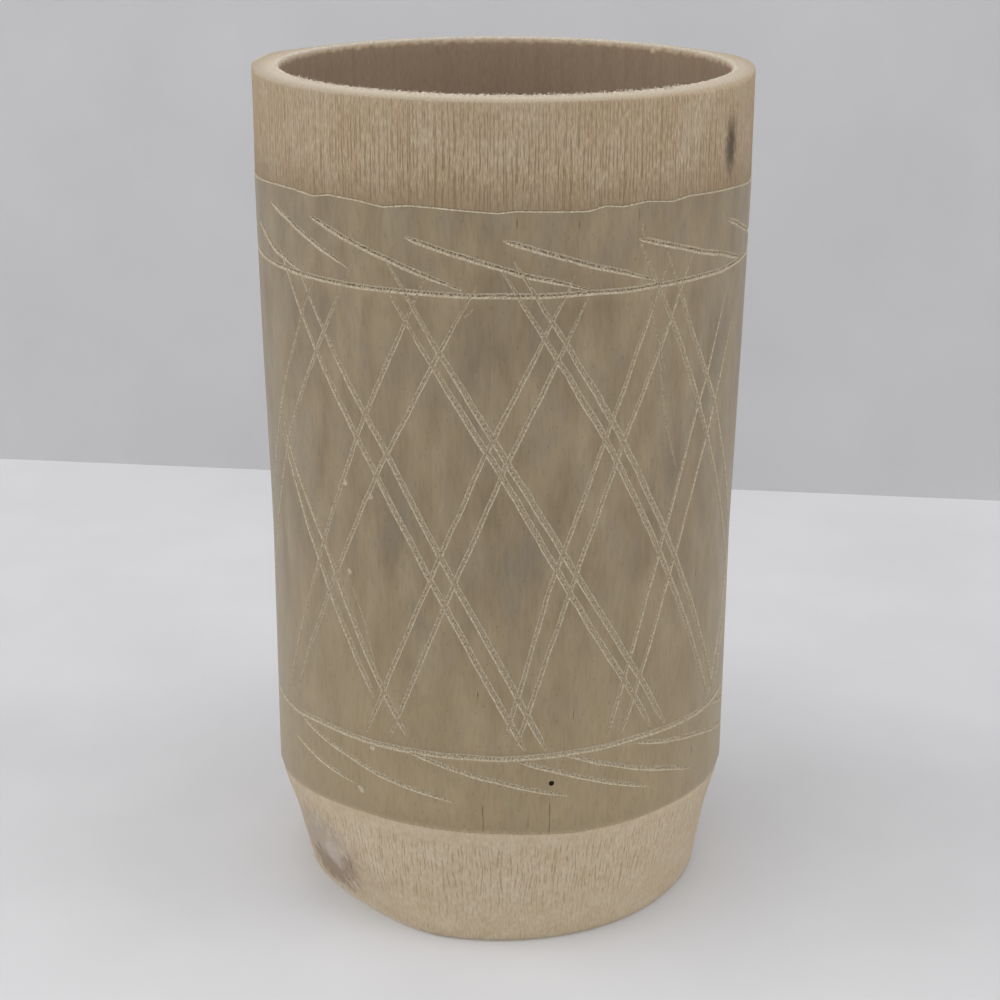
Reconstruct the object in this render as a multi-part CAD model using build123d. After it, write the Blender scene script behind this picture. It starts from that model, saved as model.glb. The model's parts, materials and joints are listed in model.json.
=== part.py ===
"""A bamboo cup cut from one length of culm, with the node's cross wall as its floor.

The cup stands on z = 0 with its axis on Z, and angles are counted from -Y towards +X.
"""

import os
from math import cos, hypot, radians, sin

from build123d import *

# Overall sizes, in millimetres.
height = 132.4  # from the foot to the top of the lip
rim_radius = 38.0  # outside of the culm at the lip

# The outside, from the lip down to the foot.
top_band = 14.9  # height of the scraped band below the lip
scrape_depth = 0.1  # how far that band lies below the skin
body_taper = 1.1  # radius lost from the rind's upper edge down to the waist
waist_height = 60.0  # below it the body goes straight down
shoulder_rise = 1.8  # height of the strip where the skin turns in, above the scraped foot
shoulder_taper = 0.5  # radius lost over that strip
foot_band = 20.2  # height of the scraped foot
foot_taper = 4.1  # radius lost over the scraped foot

# The walls and the layers on them.
rim_wall = 3.7  # wall at the lip
floor_wall = 3.4  # wall at the level of the floor
rind_thickness = 0.6
lining_thickness = 0.4
lining_drop = 2.0  # from the lip down to the lining's upper edge

# The floor, which is keyed into the wall.
floor_height = 9.0  # from the foot to the floor's edge
floor_thickness = 4.0
floor_crown = 0.5  # rise of the floor's middle above its edge
floor_key = 0.8  # how far the floor's edge reaches into the wall
floor_fillet = 2.5  # between the floor and the inside wall
floor_curl = 0.6  # height of the floor's upturned edge above that fillet
foot_ring = 4.5  # width of the ring that the cup stands on

# Worn edges.
lip_round = 1.2
foot_round = 0.6

# The two incised rings.
ring_width = 0.9
ring_depth = 0.3
upper_ring_drop = 12.0  # below the rind's upper edge
lower_ring_rise = 14.0  # above the rind's lower edge

# The bud's scar on the scraped foot, at the node that the floor belongs to.
bud_angle = -55.0  # degrees
bud_width = 13.0
bud_height = 12.0
bud_rise = 0.7  # from the floor's edge up to the scar's middle
bud_depth = 1.4

# Clearance between layers that grew together.
seam = 0.03

# Heights and radii that follow from the sizes above.
rind_top = height - top_band
shoulder_height = foot_band + shoulder_rise
lining_top = height - lining_drop
floor_underside = floor_height - floor_thickness
curl_height = floor_height + floor_fillet + floor_curl
rind_top_radius = rim_radius + scrape_depth
waist_radius = rind_top_radius - body_taper
rind_foot_radius = waist_radius - shoulder_taper
foot_radius = rind_foot_radius - foot_taper
recess_radius = foot_radius - foot_ring


def between(z, low, high):
    """Radius at height z on the straight line through two points, each a radius and a height."""
    share = (z - low[1]) / (high[1] - low[1])
    return low[0] + share * (high[0] - low[0])


def body_radius(z):
    """Outside of the skin between the shoulder and the rind's upper edge."""
    return between(max(z, waist_height), (waist_radius, waist_height), (rind_top_radius, rind_top))


def foot_outside(z):
    """Outside of the scraped foot."""
    return between(z, (foot_radius, 0), (rind_foot_radius, foot_band))


def inside_radius(z):
    """Inside of the cup, from the floor to the lip."""
    at_floor = (foot_outside(floor_height) - floor_wall, floor_height)
    at_lip = (rim_radius - rim_wall, height)
    return between(z, at_floor, at_lip)


def bore_radius(z):
    """Inside of the wall, behind the lining."""
    return inside_radius(z) + lining_thickness


def turned(*outline):
    """Solid turned about the cup's axis from an outline of radius and height pairs."""
    corners = [(radius, 0, z) for radius, z in outline]
    return revolve(make_face(Polyline(*corners, close=True)), Axis.Z)


def circle_edges(solid, *places):
    """Circular edges of a solid at the given radius and height pairs."""
    found = solid.edges().filter_by(GeomType.CIRCLE)
    near = 0.01
    return [
        edge
        for edge in found
        for radius, z in places
        if hypot(edge.radius - radius, edge.arc_center.Z - z) < near
    ]


def bud_block(inset):
    """Oval block on the scar's place, from the scar's bed out past the foot, smaller by an inset."""
    centre_height = floor_height + bud_rise
    surface = foot_outside(centre_height)
    across = Vector(cos(radians(bud_angle)), sin(radians(bud_angle)), 0)
    outward = Vector(sin(radians(bud_angle)), -cos(radians(bud_angle)), 0)
    bed = outward * (surface - bud_depth + inset) + Vector(0, 0, centre_height)
    outline = Plane(bed, x_dir=across, z_dir=outward) * Ellipse(bud_width / 2 - inset, bud_height / 2 - inset)
    return extrude(outline, bud_depth + bud_height)


def culm_wall():
    """Wood of the culm, with a rebate for the rind, one for the lining and a groove for the floor."""
    key_radius = bore_radius(floor_height) + floor_key
    wall = turned(
        (recess_radius, 0),
        (foot_radius, 0),
        (rind_foot_radius, foot_band),
        (rind_foot_radius - rind_thickness, foot_band),
        (waist_radius - rind_thickness, shoulder_height),
        (waist_radius - rind_thickness, waist_height),
        (rind_top_radius - rind_thickness, rind_top),
        (rind_top_radius - scrape_depth, rind_top),
        (rim_radius, height),
        (rim_radius - rim_wall, height),
        (inside_radius(lining_top), lining_top),
        (bore_radius(lining_top), lining_top),
        (bore_radius(floor_height), floor_height),
        (key_radius, floor_height),
        (key_radius, floor_underside),
        (recess_radius, floor_underside),
    )
    lip = circle_edges(wall, (rim_radius, height), (rim_radius - rim_wall, height))
    wall = fillet(lip, min(lip_round, rim_wall * 0.45))
    foot = circle_edges(wall, (foot_radius, 0), (recess_radius, 0))
    wall = fillet(foot, min(foot_round, foot_ring * 0.45))
    return wall - bud_block(0)


def ring_groove(z):
    """Cutter for one incised ring: a V that runs on outside the skin."""
    half_width = ring_width / 2
    return turned(
        (body_radius(z) - ring_depth, z),
        (body_radius(z) + ring_depth, z + 2 * half_width),
        (body_radius(z) + ring_depth, z - 2 * half_width),
    )


def outer_rind():
    """Skin in the wall's rebate, turned in at its lower end, with the two incised rings."""
    bed = rind_thickness - seam
    upper_edge = rind_top - seam
    lower_edge = foot_band + seam
    skin = turned(
        (rind_foot_radius, lower_edge),
        (waist_radius, shoulder_height),
        (waist_radius, waist_height),
        (rind_top_radius, upper_edge),
        (rind_top_radius - bed, upper_edge),
        (waist_radius - bed, waist_height),
        (waist_radius - bed, shoulder_height),
        (rind_foot_radius - bed, lower_edge),
    )
    return skin - ring_groove(rind_top - upper_ring_drop) - ring_groove(foot_band + lower_ring_rise)


def inner_lining():
    """Pith layer on the wall's inside, from the floor's upturned edge to its shoulder under the lip."""
    upper_edge = lining_top - seam
    lower_edge = curl_height + seam
    return turned(
        (inside_radius(lower_edge), lower_edge),
        (bore_radius(lower_edge) - seam, lower_edge),
        (bore_radius(upper_edge) - seam, upper_edge),
        (inside_radius(upper_edge), upper_edge),
    )


def floor_diaphragm():
    """Cross wall of the node: a slightly crowned disc, keyed into the wall and curled up at its edge."""
    corner_radius = inside_radius(floor_height)
    key_radius = bore_radius(floor_height) + floor_key - seam
    key_top = floor_height - seam
    underside = floor_underside + seam
    level = (1, 0, 0)
    top = TangentArc((0, 0, floor_height + floor_crown), (corner_radius, 0, floor_height), tangent=level)
    edge = Polyline(
        (corner_radius, 0, floor_height),
        (inside_radius(curl_height), 0, curl_height),
        (bore_radius(curl_height) - seam, 0, curl_height),
        (bore_radius(floor_height) - seam, 0, key_top),
        (key_radius, 0, key_top),
        (key_radius, 0, underside),
        (recess_radius, 0, underside),
    )
    below = TangentArc((0, 0, underside + floor_crown), (recess_radius, 0, underside), tangent=level)
    middle = Line((0, 0, underside + floor_crown), (0, 0, floor_height + floor_crown))
    disc = revolve(make_face([top, edge, below, middle]), Axis.Z)
    corner = circle_edges(disc, (corner_radius, floor_height))
    return fillet(corner, floor_fillet)


def bud_scar():
    """Knot of the bud in its bed in the wall, cut flush with the scraped foot."""
    foot = Cone(foot_radius, rind_foot_radius, foot_band, align=(Align.CENTER, Align.CENTER, Align.MIN))
    return bud_block(seam) & foot


os.makedirs("parts", exist_ok=True)
for piece in (culm_wall, outer_rind, inner_lining, floor_diaphragm, bud_scar):
    export_step(piece(), f"parts/{piece.__name__}.step")
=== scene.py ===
import json
from math import atan2, cos, degrees, hypot, radians, sin, tau
from random import Random

import bmesh
import bpy
from mathutils import Matrix, Vector, noise

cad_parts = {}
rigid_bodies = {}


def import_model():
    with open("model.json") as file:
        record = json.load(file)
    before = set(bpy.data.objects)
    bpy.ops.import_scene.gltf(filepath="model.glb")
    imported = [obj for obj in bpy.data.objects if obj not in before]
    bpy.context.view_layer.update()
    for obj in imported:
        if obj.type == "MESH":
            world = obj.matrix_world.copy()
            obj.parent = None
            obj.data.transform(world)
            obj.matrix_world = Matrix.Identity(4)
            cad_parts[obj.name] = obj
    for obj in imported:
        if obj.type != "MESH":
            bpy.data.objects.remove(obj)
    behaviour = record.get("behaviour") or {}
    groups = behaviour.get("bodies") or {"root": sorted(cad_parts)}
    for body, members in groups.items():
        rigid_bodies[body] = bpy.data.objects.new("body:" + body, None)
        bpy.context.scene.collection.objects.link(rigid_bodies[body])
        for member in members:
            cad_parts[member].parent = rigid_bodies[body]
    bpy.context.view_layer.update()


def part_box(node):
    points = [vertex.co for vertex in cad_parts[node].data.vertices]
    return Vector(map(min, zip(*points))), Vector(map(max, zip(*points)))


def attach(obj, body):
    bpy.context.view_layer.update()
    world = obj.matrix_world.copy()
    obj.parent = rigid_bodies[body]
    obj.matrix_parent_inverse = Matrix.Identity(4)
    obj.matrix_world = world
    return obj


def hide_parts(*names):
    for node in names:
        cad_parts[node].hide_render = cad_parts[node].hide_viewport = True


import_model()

# Culm wall: the woody tube of the bamboo, sawn to length, which is also the cup's lip and foot.
# The skin is scraped off it below the lip and pared away in a bevel at the foot, so its fibres show there.
# Skin, lining, floor and bud knot are seated in it. Meshes are shaped in millimetres, then made metres.
metre = 1000.0
_, wall_high = (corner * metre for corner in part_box("culm_wall"))
skin_low, skin_high = (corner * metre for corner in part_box("outer_rind"))
lining_low, lining_high = (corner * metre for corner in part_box("inner_lining"))
floor_low, floor_high = (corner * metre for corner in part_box("floor_diaphragm"))
seam = 0.03
height = wall_high.z
rim_radius = wall_high.x
skin_top = skin_high.z + seam
skin_foot = skin_low.z - seam
skin_depth = 0.6
turn_in = 1.8  # height of the strip where the skin turns in above the foot
waist = 60.0  # below this height the body goes straight down
waist_radius = 37.0
upper_body = 90.0  # above this height the body widens more slowly
upper_body_radius = 37.65
skin_foot_radius = waist_radius - 0.5  # the skin's lower edge, where it has turned in
rim_wall = 3.7
lip_inside = rim_radius - rim_wall
lining_depth = 0.4
foot_radius = 32.4
foot_ring = 4.5
recess_radius = foot_radius - foot_ring
floor_edge = 9.0  # height of the floor's edge
floor_radius = 30.83  # inside of the cup at that height
lip_round = 0.3
foot_round = 0.7
margin = 0.1  # distance that tells one surface from the next
outside_line = (
    (0.0, foot_radius),
    (skin_foot, skin_foot_radius),
    (skin_foot + turn_in, waist_radius),
    (waist, waist_radius),
    (upper_body, upper_body_radius),
    (skin_top, skin_high.x),
    (height, rim_radius),
)

# Angles and heights of the skin's two hand-cut edges. Angles are counted from -Y towards +X.
skin_top_edge = (
    (-180, 117.5), (-130, 117.9), (-105, 117.2), (-76, 117.0), (-60, 117.7), (-52, 117.8), (-45, 117.5),
    (-40, 118.1), (-32, 117.9), (-26, 117.4), (-20, 117.9), (-14, 117.8), (-1, 117.3), (3, 117.6),
    (18, 117.3), (22, 117.9), (26, 117.6), (32, 118.0), (39, 117.5), (44, 117.9), (62, 117.3),
    (76, 116.6), (110, 117.6), (145, 117.1), (180, 117.5),
)
skin_foot_edge = (
    (-180, 20.4), (-130, 19.4), (-100, 18.2), (-80, 17.5), (-70, 19.0), (-60, 20.0), (-45, 21.0),
    (-35, 21.4), (0, 21.2), (20, 20.5), (45, 20.4), (60, 19.9), (70, 19.2), (80, 18.2),
    (105, 18.7), (140, 20.6), (180, 20.4),
)
top_edge_reach = 6.0  # how far from its edges the skin follows them
foot_edge_reach = 9.0

# Where the foot is pared flat, leans in and stands out: the depth, the angle and its reach in degrees, and
# the height at which it ends.
foot_swells = ((-1.9, -49, 34, 10), (-0.5, -84, 32, 22), (0.5, 86, 30, 14))
slow_wave = 0.08
opening_offset = 0.3


def along(place, line):
    """Value at a place on the straight lines through pairs of place and value."""
    for (start, first), (end, last) in zip(line, line[1:]):
        if place <= end:
            share = max(0.0, (place - start) / (end - start))
            return first + share * (last - first)
    return line[-1][1]


def hump(place, centre, reach):
    """Smooth hump that is 1 at its centre and 0 beyond its reach."""
    share = min(1.0, abs(place - centre) / reach)
    return (1 - share**2) ** 2


def on_circle(angle, radius, z):
    """Point at an angle, a radius and a height."""
    return Vector((radius * sin(radians(angle)), -radius * cos(radians(angle)), z))


def polar(point):
    """Angle of a point about the cup's axis in degrees, its radius and its height."""
    return degrees(atan2(point.x, -point.y)), hypot(point.x, point.y), point.z


def grain_relief(point, across, run):
    """Smooth noise from -1 to 1, in cells of these sizes along an upright grain."""
    return noise.noise(Vector((point.x / across, point.y / across, point.z / run)))


def inside_radius(z):
    """Inside of the cup at a height."""
    return along(z, ((floor_edge, floor_radius), (height, lip_inside)))


def uneven(angle, z):
    """How far the grown and hand-cut outside stands out from its turned form."""
    turn = (angle + 180) % 360 - 180
    out = 0.0
    for depth, middle, reach, end in foot_swells:
        out += depth * hump(turn, middle, reach) * max(0.0, 1 - z / end)
    return out + slow_wave * noise.noise(on_circle(turn, 1.6, z / 40))


def edge_shift(angle, z):
    """How far the skin's hand-cut edges lift or lower what is near them."""
    turn = (angle + 180) % 360 - 180
    at_top = (along(turn, skin_top_edge) - skin_top) * hump(z, skin_top, top_edge_reach)
    at_foot = (along(turn, skin_foot_edge) - skin_foot) * hump(z, skin_foot, foot_edge_reach)
    return at_top + at_foot


def outside_radius(angle, z):
    """Outside of the finished cup at an angle and a height."""
    turned_z = z - edge_shift(angle, z)
    turned_z = z - edge_shift(angle, turned_z)
    return along(turned_z, outside_line) + uneven(angle, turned_z)


def opening_shift(angle, z):
    """How far the opening, which lies a little to one side of the culm, stands out at an angle."""
    return opening_offset * sin(radians(angle)) * max(0.0, (z - waist) / (height - waist))


def settle(mesh):
    """Moves a turned mesh to the culm's uneven form."""
    outer_wood = 1.6  # depth of the wood that doesn't follow the opening
    for vert in mesh.verts:
        angle, radius, z = polar(vert.co)
        outer = along(radius, ((recess_radius, 0.0), (foot_radius, 1.0)))
        inner = along(radius, ((lip_inside + 2 * lining_depth, 1.0), (rim_radius - outer_wood, 0.0)))
        radius += outer * uneven(angle, z) + inner * opening_shift(angle, z)
        vert.co = on_circle(angle, radius, z + outer * edge_shift(angle, z))


def turned(outline, columns, closed=True):
    """Mesh turned about the cup's axis from an outline of radius and height pairs."""
    mesh = bmesh.new()
    corners = [mesh.verts.new((0, -radius, z)) for radius, z in outline]
    pairs = list(zip(corners, corners[1:]))
    if closed:
        pairs.append((corners[-1], corners[0]))
    sides = [mesh.edges.new(pair) for pair in pairs]
    bmesh.ops.spin(mesh, geom=corners + sides, axis=(0, 0, 1), angle=tau, steps=columns, use_merge=True)
    bmesh.ops.remove_doubles(mesh, verts=mesh.verts, dist=0.001)
    bmesh.ops.recalc_face_normals(mesh, faces=mesh.faces)
    return mesh


def rounded(mesh, radius, z, size, segments):
    """Rounds the circular edge of a turned mesh at a radius and height."""
    near = 0.01
    circle = []
    for edge in mesh.edges:
        if all(hypot(hypot(v.co.x, v.co.y) - radius, v.co.z - z) < near for v in edge.verts):
            circle.append(edge)
    bmesh.ops.bevel(
        mesh, geom=circle, offset=size, affect="EDGES", segments=segments, profile=0.5, material=-1
    )


def add_rows(mesh, low, high, outer_only, rows):
    """Divides the edges of a turned mesh that rise through most of a range of heights into rows."""
    skin_near = 0.3
    rising = []
    for edge in mesh.edges:
        first, last = edge.verts
        middle = (first.co + last.co) / 2
        outer = hypot(middle.x, middle.y) > along(middle.z, outside_line) - skin_near
        tall = abs(first.co.z - last.co.z) > (high - low) / 2
        if low < middle.z < high and tall and (outer or not outer_only):
            rising.append(edge)
    bmesh.ops.subdivide_edges(mesh, edges=rising, cuts=rows - 1, use_grid_fill=True)


def divide_spokes(mesh, cuts):
    """Divides the edges that run to a mesh's middle."""
    spokes = [edge for edge in mesh.edges if min(v.co.xy.length for v in edge.verts) < margin]
    bmesh.ops.subdivide_edges(mesh, edges=spokes, cuts=cuts, use_grid_fill=True)


def face_outwards(mesh):
    """Turns the faces of a closed mesh round if they point into it."""
    if mesh.calc_volume(signed=True) < 0:
        bmesh.ops.reverse_faces(mesh, faces=mesh.faces)


def object_from(name, mesh, materials):
    """Object made of a finished mesh, not yet in the scene."""
    data = bpy.data.meshes.new(name)
    mesh.to_mesh(data)
    mesh.free()
    for material in materials:
        data.materials.append(material)
    return bpy.data.objects.new(name, data)


def cut_away(mesh, cutters, materials):
    """Mesh with closed meshes cut out of it. The cut faces keep the material numbers of the cutters."""
    group = bpy.data.collections.new("helpers")
    bpy.context.scene.collection.children.link(group)
    body = object_from("helper", mesh, materials)
    bpy.context.scene.collection.objects.link(body)
    for cutter in cutters:
        group.objects.link(object_from("helper", cutter, materials))
    cut = body.modifiers.new("cut", "BOOLEAN")
    cut.operation = "DIFFERENCE"
    cut.operand_type = "COLLECTION"
    cut.collection = group
    cut.solver = "MANIFOLD"
    cut.material_mode = "INDEX"
    data = bpy.data.meshes.new_from_object(body.evaluated_get(bpy.context.evaluated_depsgraph_get()))
    result = bmesh.new()
    result.from_mesh(data)
    for helper in [body, *group.objects]:
        bpy.data.objects.remove(helper)
    bpy.data.collections.remove(group)
    bpy.data.meshes.remove(data)
    bmesh.ops.remove_doubles(result, verts=result.verts, dist=0.002)
    bmesh.ops.dissolve_degenerate(result, edges=result.edges, dist=0.0005)
    return result


def piece_from(name, mesh, materials, node, sharp_degrees=35):
    """Makes a finished mesh a piece in metres that rides on the cup and stands for a node."""
    bmesh.ops.scale(mesh, vec=(1 / metre,) * 3, verts=mesh.verts)
    for face in mesh.faces:
        face.smooth = True
    piece = object_from(name, mesh, materials)
    piece.data.set_sharp_from_angle(angle=radians(sharp_degrees))
    bpy.context.scene.collection.objects.link(piece)
    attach(piece, "root")
    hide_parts(node)
    return piece


def linear(colour):
    """Linear RGBA of an sRGB hex colour."""
    channels = [int(colour[at : at + 2], 16) / 255 for at in (1, 3, 5)]
    return [c / 12.92 if c <= 0.04045 else ((c + 0.055) / 1.055) ** 2.4 for c in channels] + [1.0]


def add_node(tree, kind, inputs=None, stops=(), out=0, **settings):
    """Adds a shader node with its settings, colour stops and inputs, and returns one of its outputs."""
    node = tree.nodes.new("ShaderNode" + kind)
    for name, value in settings.items():
        setattr(node, name, value)
    for _ in stops[2:]:
        node.color_ramp.elements.new(0.5)
    for number, (place, colour) in enumerate(stops):
        node.color_ramp.elements[number].position = place
        node.color_ramp.elements[number].color = linear(colour)
    for name, value in (inputs or {}).items():
        if isinstance(value, bpy.types.NodeSocket):
            tree.links.new(value, node.inputs[name])
        else:
            node.inputs[name].default_value = value
    return node.outputs[out] if node.outputs else None


def new_material(name):
    """Empty material, with its node tree and its place in object coordinates."""
    material = bpy.data.materials.new(name)
    material.use_nodes = True
    tree = material.node_tree
    tree.nodes.clear()
    return material, tree, add_node(tree, "TexCoord", out="Object")


def end_surface(tree, colour, relief, depth, roughness, specular):
    """Ends a material with a surface of a colour and a fine relief whose depth is in millimetres."""
    normal = add_node(tree, "Bump", {"Height": relief, "Strength": 1.0, "Distance": depth / metre})
    surface = {
        "Base Color": colour,
        "Roughness": roughness,
        "Specular IOR Level": specular,
        "Normal": normal,
    }
    shader = add_node(tree, "BsdfPrincipled", surface)
    add_node(tree, "OutputMaterial", {"Surface": shader})


def grain(across, run):
    """Mapping scale at which one cell of noise has these sizes, in millimetres, along an upright grain."""
    return (metre / across, metre / across, metre / run)


def unrolled(tree, place, across, run):
    """Place on the culm's unrolled surface, counted in cells of these sizes in millimetres."""
    parts = add_node(tree, "SeparateXYZ", {"Vector": place}).node.outputs
    front = add_node(tree, "Math", {0: parts["Y"], 1: -1.0}, operation="MULTIPLY")
    turn = add_node(tree, "Math", {0: parts["X"], 1: front}, operation="ARCTAN2")
    around = add_node(tree, "Math", {0: turn, 1: waist_radius / across}, operation="MULTIPLY")
    up = add_node(tree, "Math", {0: parts["Z"], 1: metre / run}, operation="MULTIPLY")
    return add_node(tree, "CombineXYZ", {"X": around, "Y": up})


def surface_noise(tree, place, across, run, detail):
    """Noise on the culm's unrolled surface, in cells of these sizes in millimetres."""
    cells = {"Vector": unrolled(tree, place, across, run), "Scale": 1.0, "Detail": detail}
    return add_node(tree, "TexNoise", cells, noise_dimensions="2D")


def body_noise(tree, place, across, run, detail):
    """Noise all through a material, in cells of these sizes in millimetres along an upright grain."""
    cells = add_node(tree, "Mapping", {"Vector": place, "Scale": grain(across, run)})
    return add_node(tree, "TexNoise", {"Vector": cells, "Scale": 1.0, "Detail": detail})


def spot_reach(tree, place, middle, half_sizes, rough, raggedness):
    """Distance from a spot's middle, counted in its half sizes and made ragged by a rough noise."""
    away = add_node(tree, "VectorMath", {0: place, 1: middle / metre}, operation="SUBTRACT")
    shrunk = add_node(tree, "Mapping", {"Vector": away, "Scale": grain(*half_sizes)})
    reach = add_node(tree, "VectorMath", {0: shrunk}, operation="LENGTH", out="Value")
    return add_node(tree, "Math", {0: rough, 1: raggedness, 2: reach}, operation="MULTIPLY_ADD")


def tint_by(tree, colour, tint, value, start, end, shares):
    """Colour mixed with a tint, whose share goes from the first to the second of two as a value rises."""
    first, last = shares
    share_range = {"Value": value, "From Min": start, "From Max": end, "To Min": first, "To Max": last}
    share = add_node(tree, "MapRange", share_range)
    return add_node(tree, "MixRGB", {"Fac": share, "Color1": colour, "Color2": linear(tint)})


def opened_bundles(tree, place, spacing, run, gaps, sway):
    """Vascular bundles cut open along their length: 1 on thin upright lines, 0 between them.

    The run is the lines' usual length, the gaps say how much of it is missing, and the sway, in spacings,
    says how far they drift sideways.
    """
    cells = unrolled(tree, place, spacing, run)
    row = add_node(tree, "SeparateXYZ", {"Vector": cells}, out="X")
    drift = {"Vector": cells, "Scale": 0.35, "Detail": 0.0}
    slow = add_node(tree, "TexNoise", drift, noise_dimensions="2D")
    drifted = add_node(tree, "Math", {0: slow, 1: sway, 2: row}, operation="MULTIPLY_ADD")
    spread = {"W": drifted, "Scale": 1.0, "Randomness": 0.9}
    apart = add_node(tree, "TexVoronoi", spread, voronoi_dimensions="1D")
    line_range = {"Value": apart, "From Min": 0.05, "From Max": 0.26, "To Min": 1.0, "To Max": 0.0}
    lines = add_node(tree, "MapRange", line_range)
    chance = surface_noise(tree, place, spacing, run, detail=1.0)
    fade = 0.12
    length_range = {"Value": chance, "From Min": gaps - fade, "From Max": gaps + fade}
    lengths = add_node(tree, "MapRange", length_range)
    return add_node(tree, "Math", {0: lines, 1: lengths}, operation="MULTIPLY")


def scraped_fibre():
    """Bamboo wood scraped with the grain: matt, with fine dark upright bundles, paler on the sawn lip."""
    material, tree, place = new_material("scraped bamboo fibre")
    z = add_node(tree, "SeparateXYZ", {"Vector": place}, out="Z")

    # The bundles are dark in the lower half and half lost in the smooth wood by the lip.
    lines = opened_bundles(tree, place, 0.52, 3.0, gaps=0.44, sway=0.6)
    lip_heights = {"Value": z, "From Min": (height - 9.0) / metre, "From Max": (height - 1.5) / metre}
    strength = add_node(tree, "MapRange", lip_heights | {"To Min": 0.68, "To Max": 0.42})
    bundles = add_node(tree, "Math", {0: lines, 1: strength}, operation="MULTIPLY")
    fibres = surface_noise(tree, place, 0.17, 1.2, detail=2.0)
    stops = ((0.3, "#9F8D73"), (0.5, "#B09E84"), (0.7, "#BEAD94"))
    wood = add_node(tree, "ValToRGB", {"Fac": fibres}, stops)
    lined = add_node(tree, "MixRGB", {"Fac": bundles, "Color1": wood, "Color2": linear("#77634C")})

    # Traces of the skin are left in the lowest part, in grains.
    grained = add_node(tree, "Math", {0: fibres, 1: 4.0 / metre, 2: z}, operation="MULTIPLY_ADD")
    low = (skin_top + 1.8) / metre
    high = (skin_top + 7.5) / metre
    colour = tint_by(tree, lined, "#8C7A60", grained, low, high, shares=(0.7, 0.0))
    relief = add_node(tree, "Math", {0: fibres, 1: bundles}, operation="SUBTRACT")

    # Slow changes of tone round the culm, a little redder and a little greyer by turns.
    patches = body_noise(tree, place, 5.0, 8.0, detail=2.0)
    tones = ((0.3, "#F4ECE2"), (0.5, "#F7F3ED"), (0.7, "#FFFFFF"))
    tone = add_node(tree, "ValToRGB", {"Fac": patches}, tones)
    toned = add_node(tree, "MixRGB", {"Fac": 1.0, "Color1": colour, "Color2": tone}, blend_type="MULTIPLY")

    # The sawn top of the lip is pale, most of all by its inner edge, and the torn fibres there are white.
    level = add_node(tree, "Mapping", {"Vector": place, "Scale": (metre, metre, 0.0)})
    from_axis = add_node(tree, "VectorMath", {0: level}, operation="LENGTH", out="Value")
    bundle_ends = add_node(tree, "TexNoise", {"Vector": level, "Scale": 3.6, "Detail": 2.0})
    mottled = add_node(tree, "Math", {0: bundle_ends, 1: -8.0, 2: from_axis}, operation="MULTIPLY_ADD")
    inner_range = {"Value": mottled, "From Min": rim_radius - 3.6, "From Max": rim_radius - 8.0}
    inner = add_node(tree, "MapRange", inner_range)
    end_stops = ((0.0, "#A09079"), (0.4, "#B3A590"), (1.0, "#C8BCAA"))
    ends = add_node(tree, "ValToRGB", {"Fac": inner}, end_stops)
    top_heights = {"Value": z, "From Min": (height - 0.4) / metre, "From Max": (height - 0.1) / metre}
    sawn = add_node(tree, "MapRange", top_heights)
    sawn_colour = add_node(tree, "MixRGB", {"Fac": sawn, "Color1": toned, "Color2": ends})
    low = (height + 0.3) / metre
    high = (height + 0.55) / metre
    paled = tint_by(tree, sawn_colour, "#E4DED4", z, low, high, shares=(0.0, 1.0))

    # One dark stain, drawn out along the grain.
    middle = on_circle(60, rim_radius, 123.5)
    reach = spot_reach(tree, place, middle, (2.2, 5.0), fibres, raggedness=0.8)
    stained = tint_by(tree, paled, "#4B3B2C", reach, 0.75, 1.5, shares=(0.9, 0.0))
    end_surface(tree, stained, relief, depth=0.06, roughness=0.7, specular=0.4)
    return material


def tinted_and_shaded_by_bud(tree, place, wood):
    """Colour of wood near the bud: greyish brown round it, darkest below it, with a pale middle. The dark
    band below it, along the foot's lower edge, is brown stain and partly painted contact shade.
    """
    blotches = surface_noise(tree, place, 1.3, 1.7, detail=4.0)
    colour = wood
    for across, up, half_width, half_height, share, tint in bud_tints:
        middle = bud_point(across, up, 0)
        reach = spot_reach(tree, place, middle, (half_width, half_height), blotches, raggedness=1.6)
        colour = tint_by(tree, colour, tint, reach, 1.32, 1.85, shares=(share, 0.0))
    return colour


def pared_fibre():
    """Bamboo wood pared across the grain: paler, with the bundles cut to short dashes, brown by the bud,
    with painted contact shade low on the foot below it.
    """
    material, tree, place = new_material("pared bamboo fibre")
    z = add_node(tree, "SeparateXYZ", {"Vector": place}, out="Z")
    lines = opened_bundles(tree, place, 0.58, 1.9, gaps=0.48, sway=1.6)
    foot_heights = {"Value": z, "From Min": 4.0 / metre, "From Max": 11.0 / metre}
    strength = add_node(tree, "MapRange", foot_heights | {"To Min": 0.2, "To Max": 0.6})
    edge_heights = {"Value": z, "From Min": 17.6 / metre, "From Max": 19.8 / metre}
    below_edge = add_node(tree, "MapRange", edge_heights | {"To Min": 1.0, "To Max": 0.1})
    shown = add_node(tree, "Math", {0: strength, 1: below_edge}, operation="MULTIPLY")
    dashes = add_node(tree, "Math", {0: lines, 1: shown}, operation="MULTIPLY")
    fibres = surface_noise(tree, place, 0.4, 1.0, detail=2.0)
    stops = ((0.3, "#BCAC93"), (0.5, "#C4B49B"), (0.7, "#CABBA2"))
    wood = add_node(tree, "ValToRGB", {"Fac": fibres}, stops)
    colour = add_node(tree, "MixRGB", {"Fac": dashes, "Color1": wood, "Color2": linear("#8F7D64")})
    relief = add_node(tree, "Math", {0: fibres, 1: dashes}, operation="SUBTRACT")
    patches = body_noise(tree, place, 3.0, 2.5, detail=3.0)
    tone = add_node(tree, "ValToRGB", {"Fac": patches}, ((0.3, "#F5EFE6"), (0.7, "#FFFFFF")))
    toned = add_node(tree, "MixRGB", {"Fac": 1.0, "Color1": colour, "Color2": tone}, blend_type="MULTIPLY")
    tinted = tinted_and_shaded_by_bud(tree, place, toned)
    end_surface(tree, tinted, relief, depth=0.05, roughness=0.65, specular=0.5)
    return material


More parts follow.
